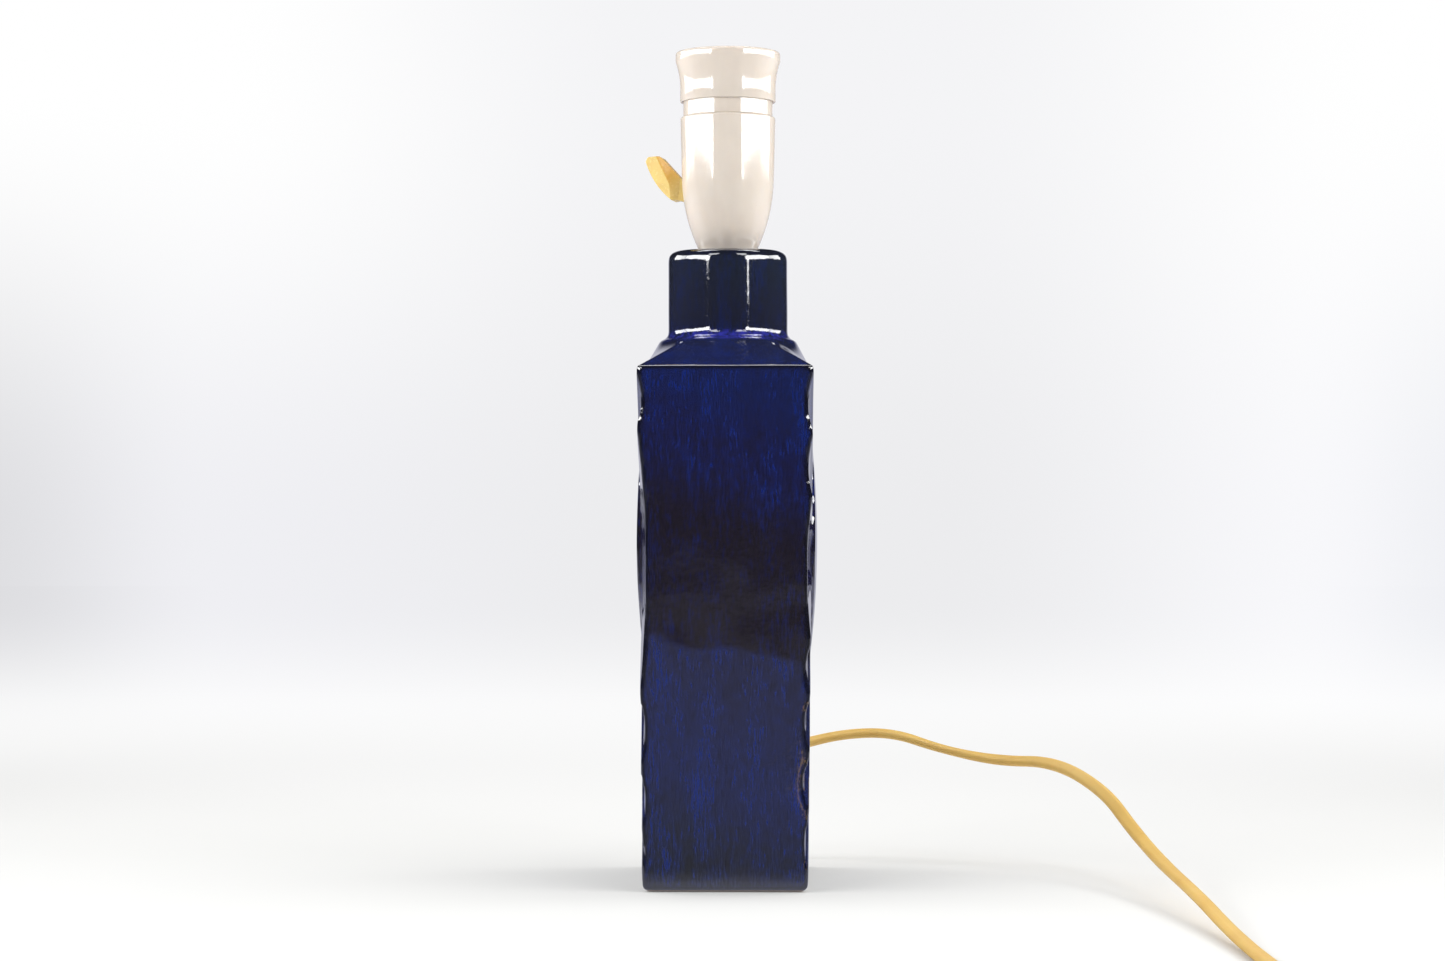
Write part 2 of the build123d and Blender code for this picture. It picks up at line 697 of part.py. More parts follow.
# Leaf spring that holds the lever at its stops
leaf_height = hub_radius + running + strip_thickness / 2
with BuildPart() as detent_spring:
    add(strip(lever_plane, ((pivot_distance - leaf_back, block_bottom - pivot_z),
                            (pivot_distance - leaf_back, leaf_height),
                            (pivot_distance - leaf_back / 3, leaf_height)), nose_width))
detent_spring.part.label = "detent_spring"
export_step(detent_spring.part, "parts/detent_spring.step")

# Cord inside the body, from the bush to the lampholder
exit_point, exit_way = cord_exit.origin, cord_exit.z_dir
inner_route = [exit_point, exit_point - exit_way * 17.0, (0, 23, 53), (0, 11, 71), (0, 4, 130), (0, -1, 185),
               (0, 0, 225), (0, 0, split_height)]
with BuildPart() as inner_cord:
    add(cord_tube(inner_route, cord_diameter / 2))
inner_cord.part.label = "inner_cord"
export_step(inner_cord.part, "parts/inner_cord.step")

# The two cores from the end of the cord to the terminals
ends = [outward(azimuth, terminal_distance, block_bottom - terminal_height).origin
        for azimuth in terminal_azimuths]
core_way = (ends[0] - ends[1]).normalized() * cord_diameter / 4
core_rise = terminal_length / 2
for end, way, name in ((ends[0], core_way, "live_wire"), (ends[1], -core_way, "neutral_wire")):
    start = Vector(way.X, way.Y, split_height)
    with BuildPart() as core:
        add(cord_tube([start, start + (0, 0, core_rise), end - (0, 0, core_rise), end], wire_radius))
    core.part.label = name
    export_step(core.part, f"parts/{name}.step")

# Free stretch of the cord: it springs off the bush, arches round the body and runs out on the floor
coil_pitch = cord_diameter + coil_gap
coil_outer = coil_mean_radius + coil_half_turns_in * coil_pitch / 4
coil_x = coil_lane_x - coil_outer
low, high = cord_diameter / 2, cord_diameter / 2 + coil_pitch
cord_route = [exit_point, exit_point + exit_way * 20.0, (10, 95.5, 46), (28, 104, 49.5), (50, 102, 55),
              (72, 93, 56), (92, 80, 49.5), (117, 67, 45), (141, 50, 46), (160, 24, 35), (168, -14, 22),
              (174, -70, 13.5), (179.5, -150, 9.2), (182, -215, 5.2), (184.2, -272, 3.2), (186.6, -328, low),
              (coil_lane_x, -377, low), (coil_lane_x, coil_y + cord_diameter, low)]
with BuildPart() as cord_run:
    add(cord_tube(cord_route, cord_diameter / 2))
cord_run.part.label = "cord_run"
export_step(cord_run.part, "parts/cord_run.step")

# Coil of the put-away length: inwards on the floor, up a layer, and outwards on top
reaches = [coil_outer - step * coil_pitch / 2 for step in range(coil_half_turns_in + 1)]
reaches.append(reaches[-1] - coil_pitch * climb_in_share)
reaches.append(reaches[-1] + coil_pitch * climb_out_share)
reaches += [reaches[-1] + step * coil_pitch / 2 for step in range(1, coil_half_turns_out)]
turning_points = []
for step, reach in enumerate(reaches):
    height = low if step <= coil_half_turns_in else high
    turning_points.append(Vector(coil_x + (-1) ** step * reach, coil_y, height))
last_radius = reaches[-1] + coil_pitch / 4
last_centre = turning_points[-1] - (last_radius, 0, 0)
with BuildPart() as cord_coil:
    with BuildLine() as coil_line:
        Line(turning_points[0] + (0, cord_diameter, 0), turning_points[0])
        for step, (start, end) in enumerate(zip(turning_points, turning_points[1:])):
            middle = (start + end) / 2
            ThreePointArc(start, middle - (0, (-1) ** step * (end - start).length / 2, 0), end)
        slant = last_radius * sqrt(2) / 2
        ThreePointArc(turning_points[-1], last_centre + (slant, -slant, 0), last_centre - (0, last_radius, 0))
        coil_end = last_centre - (cord_diameter, last_radius, 0)
        Line(last_centre - (0, last_radius, 0), coil_end)
    with BuildSketch(Plane(origin=coil_line.line @ 0, z_dir=coil_line.line % 0)):
        Circle(cord_diameter / 2)
    sweep()
cord_coil.part.label = "cord_coil"
export_step(cord_coil.part, "parts/cord_coil.step")

coil_wire = coil_line.wire()
samples = [coil_wire.position_at(step / coil_samples) for step in range(coil_samples + 1)]
skip = int(4 * cord_diameter / coil_wire.length * coil_samples)
least = min((samples[i] - samples[j]).length
            for i in range(len(samples)) for j in range(i + skip, len(samples)))
print("coil length", round(coil_wire.length, 1), "least gap to itself", round(least - cord_diameter, 2))

# Last stretch, which comes down from the coil's upper layer to the plug
plug_height = plug_thickness / 2
tail_route = [coil_end, coil_end - (tail_run, 0, 0), coil_end - (tail_run * 2, 0, high - plug_height),
              coil_end - (tail_run * 3, 0, high - plug_height)]
with BuildPart() as cord_tail:
    add(cord_tube(tail_route, cord_diameter / 2))
cord_tail.part.label = "cord_tail"
export_step(cord_tail.part, "parts/cord_tail.step")

# Flat two-pin plug with its tapered strain relief
plug_plane = Plane(origin=tail_route[-1], x_dir=(-1, 0, 0), z_dir=(0, 0, 1))
plug_front = plug_neck_length + plug_length
plug_waist = plug_neck_length + plug_length * plug_waist_share
with BuildPart() as plug_body:
    with BuildSketch(plug_plane.offset(-plug_height)):
        with BuildLine():
            Polyline((plug_neck_length, -plug_heel_width / 2), (plug_waist, -plug_width / 2),
                     (plug_front, -plug_face_width / 2), (plug_front, plug_face_width / 2),
                     (plug_waist, plug_width / 2), (plug_neck_length, plug_heel_width / 2),
                     (plug_neck_length, -plug_heel_width / 2))
        make_face()
    extrude(amount=plug_thickness)
    pin_face_edges = plug_body.faces().sort_by(Axis.X)[0].edges()
    fillet(plug_body.edges().filter_by(Plane.XY) - pin_face_edges, plug_rounding)
    with BuildSketch(Plane(origin=tail_route[-1], z_dir=(-1, 0, 0))):
        Circle(plug_neck_tip_radius)
    with BuildSketch(Plane(origin=tail_route[-1] - (plug_neck_length + over, 0, 0), z_dir=(-1, 0, 0))):
        Circle(plug_neck_radius)
    loft(ruled=True)
plug_body.part.label = "plug_body"
export_step(plug_body.part, "parts/plug_body.step")

with BuildPart() as plug_pins:
    with BuildSketch(Plane(origin=tail_route[-1] - (plug_front, 0, 0), x_dir=(0, 1, 0), z_dir=(-1, 0, 0))):
        with Locations((plug_pin_pitch / 2, 0), (-plug_pin_pitch / 2, 0)):
            Circle(plug_pin_radius)
    extrude(amount=plug_pin_length)
    fillet(plug_pins.edges().group_by(Axis.X)[0], plug_pin_radius / 2)
plug_pins.part.label = "plug_pins"
export_step(plug_pins.part, "parts/plug_pins.step")
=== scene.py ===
from math import atan2, cos, degrees, hypot, pi, radians, sin, sqrt

import bmesh
import bpy
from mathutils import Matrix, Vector


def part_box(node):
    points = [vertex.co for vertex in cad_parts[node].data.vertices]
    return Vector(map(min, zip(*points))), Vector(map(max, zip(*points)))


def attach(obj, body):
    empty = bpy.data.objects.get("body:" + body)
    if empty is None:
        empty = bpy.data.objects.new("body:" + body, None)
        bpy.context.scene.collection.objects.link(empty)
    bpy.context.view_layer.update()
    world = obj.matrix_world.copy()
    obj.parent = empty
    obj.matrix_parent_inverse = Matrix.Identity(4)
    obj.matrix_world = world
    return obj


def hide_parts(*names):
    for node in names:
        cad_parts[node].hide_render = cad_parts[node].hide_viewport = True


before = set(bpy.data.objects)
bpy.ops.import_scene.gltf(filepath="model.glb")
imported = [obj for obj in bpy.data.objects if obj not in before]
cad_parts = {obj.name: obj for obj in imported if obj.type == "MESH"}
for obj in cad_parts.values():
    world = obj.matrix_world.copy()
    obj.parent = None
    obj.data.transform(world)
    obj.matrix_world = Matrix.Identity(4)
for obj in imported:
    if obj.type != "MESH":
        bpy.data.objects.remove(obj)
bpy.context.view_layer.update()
bpy.ops.object.select_all(action="DESELECT")
mm = 0.001


# The camera stands in front of the lamp's plain narrow side, at two fifths of its height and a
# little to the right, and looks up by one degree.
camera_place = Vector((0.030, -1.428, 0.142))
camera_tilt = 1.0
camera_turn = 1.295
focal_pixels = 3400
picture_width = 1445
sensor_width = 36.0

bpy.ops.object.camera_add(location=camera_place,
                          rotation=(radians(90 + camera_tilt), 0, radians(camera_turn)))
camera = bpy.context.object
camera.name = "camera"
camera.data.sensor_width = sensor_width
camera.data.lens = sensor_width * focal_pixels / picture_width
camera.data.dof.use_dof = False
bpy.context.scene.camera = camera
bpy.context.scene.view_settings.view_transform = "Standard"


# The studio is a white table whose front edge is just out of the picture, under a white surround, with
# a dark room in front. Soft lamps, wings and narrow strips hang on both sides, one lamp hangs behind,
# and two small key lamps light the table from the front.
class Wire:
    """One output of a material's nodes. Sums on wires add Math nodes; node() adds any other node."""

    def __init__(self, tree, socket=None):
        self.tree = tree
        self.socket = socket

    def node(self, kind, inputs=None, out=0, stops=None, **settings):
        made = self.tree.nodes.new("ShaderNode" + kind)
        for name, value in settings.items():
            setattr(made, name, value)
        if stops:
            ramp = made.color_ramp
            ramp.interpolation = "EASE"
            while len(ramp.elements) < len(stops):
                ramp.elements.new(0.5)
            for element, (place, colour) in zip(ramp.elements, stops):
                element.position = place
                element.color = (*colour, 1)
        for name, value in (inputs or {}).items():
            if isinstance(value, Wire):
                self.tree.links.new(value.socket, made.inputs[name])
            else:
                made.inputs[name].default_value = value
        return Wire(self.tree, made.outputs[out])

    def sum(self, operation, first, second=0.0):
        return self.node("Math", {0: first, 1: second}, operation=operation)

    def __add__(self, other):
        return self.sum("ADD", self, other)

    def __sub__(self, other):
        return self.sum("SUBTRACT", self, other)

    def __rsub__(self, other):
        return self.sum("SUBTRACT", other, self)

    def __mul__(self, other):
        return self.sum("MULTIPLY", self, other)

    def __truediv__(self, other):
        return self.sum("DIVIDE", self, other)

    def __rtruediv__(self, other):
        return self.sum("DIVIDE", other, self)

    def __abs__(self):
        return self.sum("ABSOLUTE", self)

    __radd__ = __add__
    __rmul__ = __mul__

    def over(self, low, high):
        """0 below low, 1 above high, and a smooth step between them."""
        return self.node("MapRange", {"Value": self, "From Min": low, "From Max": high},
                         interpolation_type="SMOOTHSTEP")

    def most(self, other):
        return self.sum("MAXIMUM", self, other)

    def part(self, axis):
        return self.node("SeparateXYZ", {0: self}, out=axis)

    def stretch(self, scale):
        return self.node("Mapping", {"Vector": self, "Scale": scale})

    def noise(self, scale, detail=2.0, rough=0.5):
        return self.node("TexNoise", {"Vector": self, "Scale": scale, "Detail": detail, "Roughness": rough})

    def mix(self, first, second):
        """Colour between first and second, by this wire."""
        colours = {key: (*value, 1) if isinstance(value, tuple) else value
                   for key, value in ((6, first), (7, second))}
        return self.node("Mix", {0: self, **colours}, out=2, data_type="RGBA")

    def bump(self, strength, distance):
        return self.node("Bump", {"Height": self, "Strength": strength, "Distance": distance})


def srgb(*parts):
    """Linear colour of a colour written in 0 to 255."""
    return tuple((part / 255 / 12.92 if part / 255 <= 0.04045 else ((part / 255 + 0.055) / 1.055) ** 2.4)
                 for part in parts)


def finish(name, **constants):
    """New material with its constants set: the material, a start wire, places on the object, the shader."""
    material = bpy.data.materials.new(name)
    material.use_nodes = True
    start = Wire(material.node_tree)
    shader = material.node_tree.nodes["Principled BSDF"]
    for socket, value in constants.items():
        shader.inputs[socket.replace("_", " ")].default_value = value
    return material, start, start.node("TexCoord", out=3), shader


def feed(shader, **wires):
    """Links wires to a shader's sockets."""
    for name, wire in wires.items():
        wire.tree.links.new(wire.socket, shader.inputs[name.replace("_", " ")])


def paint(piece, material):
    """Gives a piece, new or from the frame, one material on all its slots."""
    if not piece.data.materials:
        piece.data.materials.append(material)
    for index in range(len(piece.data.materials)):
        piece.data.materials[index] = material


table_front, table_front_blend = -0.60, 0.15
table_reach = 9.0
table_drop = 0.0002
table_far, table_near = srgb(241, 241, 241), srgb(209, 209, 208)
horizon_middle, horizon_left, horizon_right = srgb(236, 236, 238), srgb(239, 239, 243), srgb(249, 249, 252)
corner_left, corner_right = srgb(222, 222, 225), srgb(239, 240, 244)
backdrop_middle, backdrop_sides = srgb(244, 244, 246), srgb(255, 255, 255)
room_floor_end, room_floor_blend = -3.4, 0.1
room_floor, room_dark = srgb(84, 85, 88), srgb(26, 27, 30)
bounce_room, bounce_table = srgb(70, 70, 72), srgb(238, 238, 238)
mirrored_white = srgb(172, 173, 186)


def horizon(bearing):
    """Colour of the far backdrop's foot, by how far left or right it is seen from the camera."""
    sides = bearing.over(-0.03, 0.03).mix(horizon_left, horizon_right)
    colour = abs(bearing).over(0.04, 0.17).mix(horizon_middle, sides)
    colour = (bearing * -1).over(0.17, 0.24).mix(colour, corner_left)
    return bearing.over(0.14, 0.20).mix(colour, corner_right)


bpy.ops.mesh.primitive_plane_add(size=1, location=(0, 0, 0))
floor = bpy.context.object
floor.name = "floor"
floor.scale = (2 * table_reach, 2 * table_reach, 1)
floor.location = (0, 0, -table_drop)
bpy.ops.object.transform_apply(location=True, scale=True)

floor_finish, start, place, shader = finish("white_table", Roughness=0.9, Specular_IOR_Level=0.0)
tree = floor_finish.node_tree
across, depth = place.part(0), place.part(1)
seen = start.node("LightPath", out=0)
mirrored = start.node("LightPath", out=3).most(start.node("LightPath", out=6))
on_table = depth.over(table_front - table_front_blend, table_front + table_front_blend)
nearness = 1 / (depth - camera_place.y)
table = nearness.over(0.38, 0.66).mix(table_far, table_near)
feed(shader, Base_Color=seen.mix(on_table.mix(bounce_room, bounce_table), table))
white = nearness.over(0.12, 0.45).mix(horizon((across - camera_place.x) * nearness), (1.0, 1.0, 1.0))
behind = depth.over(-0.14, -0.05)
in_room = depth.over(room_floor_end - room_floor_blend, room_floor_end + room_floor_blend)
before = in_room.mix(room_dark, room_floor)
glow = start.node("Emission", {"Color": seen.mix(behind.mix(before, mirrored_white), white)})
lit = Wire(tree, shader.outputs[0])
glowing = (1 - nearness.over(0.32, 0.58) * 0.9) * seen + mirrored
both = start.node("MixShader", {0: glowing, 1: lit, 2: glow})
tree.links.new(both.socket, tree.nodes["Material Output"].inputs["Surface"])
paint(floor, floor_finish)

world = bpy.data.worlds.new("surround")
bpy.context.scene.world = world
world.use_nodes = True
sky = Wire(world.node_tree)
way = sky.node("TexCoord", out=0)
across, ahead, rise = way.part(0), way.part(1), way.part(2)
above = abs(across).over(0.04, 0.17).mix(backdrop_middle, backdrop_sides)
backdrop = rise.over(0.0, 0.13).mix(horizon(across), above)
backdrop = ahead.over(0.3, 0.6).mix(backdrop_middle, backdrop)
lit_sky = (ahead * -1).over(0.15, 0.65).mix((0.86, 0.86, 0.85), (0.012, 0.012, 0.014))
mirrored_sky = rise.over(0.25, 0.50).mix((0.50, 0.50, 0.58), (0.04, 0.04, 0.05))
mirrored_sky = ahead.over(0.91, 0.985).mix((0.014, 0.014, 0.017), mirrored_sky)
light = sky.node("LightPath", out=3).mix(lit_sky, mirrored_sky)
light = sky.node("LightPath", out=0).mix(light, backdrop)
world.node_tree.links.new(light.socket, world.node_tree.nodes["Background"].inputs["Color"])


def hang(name, spot, aim, width, tall, energy):
    """A rectangular lamp that hangs at a spot and faces its aim."""
    bpy.ops.object.light_add(type="AREA", location=spot)
    lamp = bpy.context.object
    lamp.name = name
    lamp.data.shape = "RECTANGLE"
    lamp.data.size = width
    lamp.data.size_y = tall
    lamp.data.energy = energy
    lamp.rotation_euler = (aim - lamp.location).to_track_quat("-Z", "Y").to_euler()
    return lamp


widest_strip = 0.5
soft_lamp_roll = 3.0
for name, turn, distance, width, foot, top, lamp_glow in (
        ("left_lamp", -61, 0.62, 0.62, 0.347, 0.54, 7.4),
        ("right_lamp", 61, 0.62, 0.62, 0.345, 0.54, 7.4),
        ("left_strip", -37.5, 0.69, 0.026, 0.313, 0.50, 7.4),
        ("right_strip", 38.5, 0.69, 0.026, 0.291, 0.50, 7.4),
        ("left_wing", -106, 0.62, 0.38, 0.345, 0.54, 4.8),
        ("right_wing", 106, 0.62, 0.38, 0.345, 0.54, 4.8)):
    middle = Vector((0, 0, (foot + top) / 2))
    spot = Vector((sin(radians(turn)), -cos(radians(turn)), 0)) * distance + middle
    lamp = hang(name, spot, middle, width, top - foot, lamp_glow * pi * width * (top - foot))
    if width > widest_strip:
        lamp.rotation_euler.rotate_axis("Z", radians(soft_lamp_roll if turn > 0 else -soft_lamp_roll))

lampholder_middle = Vector((0, 0, 0.33))
for name, spot, width, tall, energy in (
        ("top_lamp", (0, 0.25, 1.6), 1.6, 0.35, 7.5), ("left_key", (-0.66, -1.24, 1.2), 0.5, 0.5, 2.8),
        ("right_key", (0.66, -1.24, 1.2), 0.5, 0.5, 2.8)):
    hang(name, spot, lampholder_middle, width, tall, energy)


# The body is slip-cast stoneware, open underneath, dipped in a glossy cobalt glaze. The glaze runs
# down in fine streaks, breaks to near black on edges and ridges, and pools at the neck's foot, where a
# painted reflection of light from above makes it brighter blue.
glaze_mesh_step, merge_within = 0.0011, 0.00001
glaze_wave, glaze_wave_length, relief_depth = 0.0003, 0.028, 0.00009
body_top = 0.263
zone_lean, zone_wander, zone_fray = 0.24, 0.030, 0.006
glaze_zones = ((0.0, (33, 36, 44)), (0.05, (35, 38, 54)), (0.17, (35, 40, 78)), (0.372, (38, 40, 68)),
               (0.386, (31, 27, 36)), (0.54, (30, 26, 36)), (0.68, (27, 29, 66)), (0.80, (25, 33, 78)),
               (0.90, (33, 36, 52)), (1.0, (32, 38, 52)))
brown_foot, brown_top = (0.374, 0.384), (0.55, 0.68)
streak_scale, streak_stretch = 1600, 0.13
broad_scale, broad_stretch = 150, 0.25
cloud_scale, pit_scale, skin_scale, clay_grain_scale = 20, 420, 1100, 900
cove_low, cove_high, cove_reach = 0.2240, 0.2300, 0.033
foot_bare, bare_blend = 0.0002, 0.0008
clay_inside_x, clay_inside_y, clay_ceiling = 0.0285, 0.0495, 0.2125
neck_bore, neck_lip = 0.0190, 0.2615
streak_blue, streak_dark, ridge_dark = srgb(23, 43, 118), srgb(25, 24, 34), srgb(18, 18, 26)
# The cove colour is pooled glaze together with a painted reflection of light from above.
hollow_blue, cove_blue_and_painted_sheen = srgb(24, 36, 130), srgb(54, 56, 168)
clay_dark, clay_light = srgb(150, 124, 98), srgb(178, 152, 122)


def deselect():
    """Leaves edit mode and deselects every object."""
    if bpy.context.object and bpy.context.object.mode != "OBJECT":
        bpy.ops.object.mode_set(mode="OBJECT")
    bpy.ops.object.select_all(action="DESELECT")


def copy_of(node, name):
    """A merged copy of a frame node, alone selected, as a start for a detailed piece."""
    deselect()
    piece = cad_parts[node].copy()
    piece.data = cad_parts[node].data.copy()
    piece.name = name
    for key in list(piece.keys()):
        del piece[key]
    piece.parent = None
    piece.data.materials.clear()
    bpy.context.scene.collection.objects.link(piece)
    bpy.context.view_layer.objects.active = piece
    piece.select_set(True)
    bpy.ops.object.mode_set(mode="EDIT")
    bpy.ops.mesh.select_all(action="SELECT")
    bpy.ops.mesh.remove_doubles(threshold=merge_within)
    bpy.ops.object.mode_set(mode="OBJECT")
    return piece


def modify(piece, kind, **settings):
    """Adds a modifier, sets it and applies it."""
    modifier = piece.modifiers.new(kind.lower(), kind)
    for name, value in settings.items():
        setattr(modifier, name, value)
    bpy.context.view_layer.objects.active = piece
    bpy.ops.object.modifier_apply(modifier=modifier.name)


def settle(piece, node, body_name, material):
    """Paints a finished piece, holds it in its frame node's box and puts it in that node's place."""
    low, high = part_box(node)
    for vertex in piece.data.vertices:
        for axis in range(3):
            vertex.co[axis] = min(max(vertex.co[axis], low[axis]), high[axis])
    paint(piece, material)
    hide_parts(node)
    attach(piece, body_name)


body = copy_of("ceramic_body", "glazed_body")
modify(body, "REMESH", mode="VOXEL", voxel_size=glaze_mesh_step, use_smooth_shade=True)
modify(body, "SMOOTH", factor=0.5, iterations=2)
ripple = bpy.data.textures.new("glaze_ripple", "CLOUDS")
ripple.noise_scale = glaze_wave_length
ripple.noise_depth = 1
modify(body, "DISPLACE", texture=ripple, texture_coords="LOCAL", strength=glaze_wave, mid_level=0.5)
bpy.ops.object.shade_smooth()

glaze, start, place, shader = finish("cobalt_glaze", IOR=1.6, Specular_IOR_Level=0.95, Coat_Weight=1.0,
                                     Coat_IOR=1.5, Coat_Roughness=0.03)
across, deep, height = place.part(0), place.part(1), place.part(2)
streaks = place.stretch((1.0, 1.0, streak_stretch)).noise(streak_scale, 3, 0.65)
broad = place.stretch((1.0, 1.0, broad_stretch)).noise(broad_scale, 3, 0.55)
cloud = place.noise(cloud_scale, 3, 0.6)
pits = place.noise(pit_scale, 2, 0.5)
skin = place.noise(skin_scale, 3, 0.6)
wander = (cloud - 0.5) * zone_wander + (streaks - 0.5) * zone_fray
zone = (height + across * zone_lean + wander) / body_top
tint = zone.node("ValToRGB", {0: zone}, stops=[(share, srgb(*tone)) for share, tone in glaze_zones])
margin = abs(across).over(0.017, 0.034)
brown = zone.over(*brown_foot) * (1 - zone.over(*brown_top))
blue = ((streaks - 0.5) * 3.2 + (broad - 0.5) * 1.6 + margin * 0.12 + 0.14 - brown * 0.1).over(0.0, 1.0)
calm = 1 - height.over(0.226, 0.234) * 0.6
colour = (blue * (1 - brown * 0.4) * calm * 0.76).mix(tint, streak_blue)
dark = ((0.5 - streaks) * 3.2 + (0.5 - broad) * 0.9 + 0.08).over(0.0, 1.0)
colour = (dark * calm * 0.78).mix(colour, streak_dark)
edge = start.node("NewGeometry", out=7)
hollow = (1 - edge).over(0.505, 0.56)
reach_squared = across * across + deep * deep
round_reach = reach_squared.sum("SQRT", reach_squared)
# Pooled glaze in the cove at the neck's foot, painted a brighter blue in speckles. The brightness is partly a
# painted reflection of light from above.
cove = (height.over(cove_low, cove_low + 0.0022) * (1 - height.over(cove_high - 0.0028, cove_high))
        * (1 - round_reach.over(cove_reach - 0.004, cove_reach)))
pooling_and_painted_sheen = cove * ((pits - 0.5) * 3 + 0.55 - abs(across).over(0.010, 0.022) * 0.3)
colour = (hollow * 0.30).mix(colour, hollow_blue)
colour = pooling_and_painted_sheen.mix(colour, cove_blue_and_painted_sheen)
colour = (edge.over(0.506, 0.535) * 0.9).mix(colour, ridge_dark)
inside = ((1 - abs(across).over(clay_inside_x, clay_inside_x + bare_blend))
          * (1 - abs(deep).over(clay_inside_y, clay_inside_y + bare_blend))
          * (1 - height.over(clay_ceiling, clay_ceiling + bare_blend)))
bore = (1 - round_reach.over(neck_bore, neck_bore + 0.0004)) * (1 - height.over(neck_lip, neck_lip + 0.001))
underneath = (start.node("NewGeometry", out=1).part(2) * -1).over(0.80, 0.95)
bare = ((1 - height.over(foot_bare, foot_bare + bare_blend)) * underneath).most(inside).most(bore)
clay_grain = place.noise(clay_grain_scale, 4, 0.6)
colour = bare.mix(colour, clay_grain.mix(clay_dark, clay_light))
relief = pits * (1 + cove * 3) + skin * 0.3 + bare * clay_grain * 4.0
feed(shader, Base_Color=colour, Roughness=bare * 0.7 + 0.05 + (skin - 0.5) * 0.04,
     Coat_Weight=1 - bare, Normal=relief.bump(0.5, relief_depth))
settle(body, "ceramic_body", "lamp", glaze)


# The bush that lines the cord hole is a soft moulded ring, pressed in from behind. The entry tube,
# washer and lock nut that hold the lampholder on the neck are plated steel.
rubber, start, place, shader = finish("bush_rubber")
grain = place.noise(1400, 3, 0.6)
feed(shader, Base_Color=((grain - 0.5) * 1.5 + 0.5).mix(srgb(198, 164, 98), srgb(170, 134, 70)),
     Roughness=(grain - 0.5) * 0.2 + 0.5, Normal=grain.bump(0.25, 0.0001))
paint(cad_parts["cord_bush"], rubber)

steel, start, place, shader = finish("plated_steel", Metallic=1.0)
dull = place.noise(240, 4, 0.6)
turning = place.stretch((1.0, 1.0, 6.0)).noise(900, 2, 0.5)
feed(shader, Base_Color=((dull - 0.5) * 2 + 0.5).mix(srgb(186, 187, 184), srgb(140, 138, 130)),
     Roughness=(dull - 0.5) * 0.3 + 0.34, Normal=turning.bump(0.2, 0.0001))
for name in ("entry_nipple", "lower_washer", "lock_nut", "nipple_grub_screw", "terminal_screws",
             "switch_pin", "detent_spring"):
    paint(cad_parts[name], steel)


# The lampholder's cap is a tulip turned and moulded in cream urea plastic, polished. It sits on the
# neck, and a slot on its left lets the switch lever out.
cap_foot, cap_belly, cap_shoulder, cap_lip = 11.9, 17.4, 19.35, 20.0
cap_belly_height, cap_shoulder_height = 15.3, 30.0
cap_flare_rings = (8.0, 16.0)
cap_wall, cap_boss = 2.0, 10.0
cap_rounding, cap_chamfer = 0.8, 0.3
tube_bore = 5.05
mouth_bore, mouth_depth = 18.2, 11.0
slot_turn, slot_width, slot_rounding = 170.0, 7.8, 0.4
slot_low, slot_high = 279.15, 294.6
slot_inner, slot_outer = 13.4, 26.0
turned_merge, turned_crease = 0.000003, radians(32)
cream_dark, cream_light, cream_speck = srgb(219, 207, 195), srgb(227, 216, 204), srgb(190, 170, 145)


def turned(name, rings, sides=128):
    """Lathe work: a circle of edges drawn through (radius, height) rings in mm, round and back again."""
    deselect()
    last_radius, last_height = rings[0]
    bpy.ops.mesh.primitive_circle_add(vertices=sides, radius=last_radius * mm,
                                      location=(0, 0, last_height * mm))
    piece = bpy.context.object
    piece.name = name
    bpy.ops.object.transform_apply(location=True)
    bpy.ops.object.mode_set(mode="EDIT")
    bpy.ops.mesh.select_all(action="SELECT")
    for radius, height in rings[1:] + rings[:1]:
        lift = (0, 0, (height - last_height) * mm)
        bpy.ops.mesh.extrude_region_move(TRANSFORM_OT_translate={"value": lift})
        grow = radius / last_radius
        bpy.ops.transform.resize(value=(grow, grow, 1), center_override=(0, 0, height * mm))
        last_radius, last_height = radius, height
    bpy.ops.mesh.select_all(action="SELECT")
    bpy.ops.mesh.remove_doubles(threshold=turned_merge)
    bpy.ops.mesh.normals_make_consistent(inside=False)
    bpy.ops.object.mode_set(mode="OBJECT")
    bpy.ops.object.shade_smooth_by_angle(angle=turned_crease)
    return piece


def arc(centre_radius, centre_height, radius, start, end, steps=6):
    """Rings along an arc of the profile, angles in degrees from outwards."""
    return [(centre_radius + radius * cos(radians(start + (end - start) * step / steps)),
             centre_height + radius * sin(radians(start + (end - start) * step / steps)))
            for step in range(steps + 1)]


def arc_through(first, middle, last, steps):
    """Rings along the arc through three points of the profile."""
    (ax, ay), (bx, by), (cx, cy) = first, middle, last
    twice = 2 * (ax * (by - cy) + bx * (cy - ay) + cx * (ay - by))
    a, b, c = ax * ax + ay * ay, bx * bx + by * by, cx * cx + cy * cy
    x = (a * (by - cy) + b * (cy - ay) + c * (ay - by)) / twice
    y = (a * (cx - bx) + b * (ax - cx) + c * (bx - ax)) / twice
    ends = [degrees(atan2(point[1] - y, point[0] - x)) for point in (first, last)]
    return arc(x, y, hypot(ax - x, ay - y), *ends, steps)


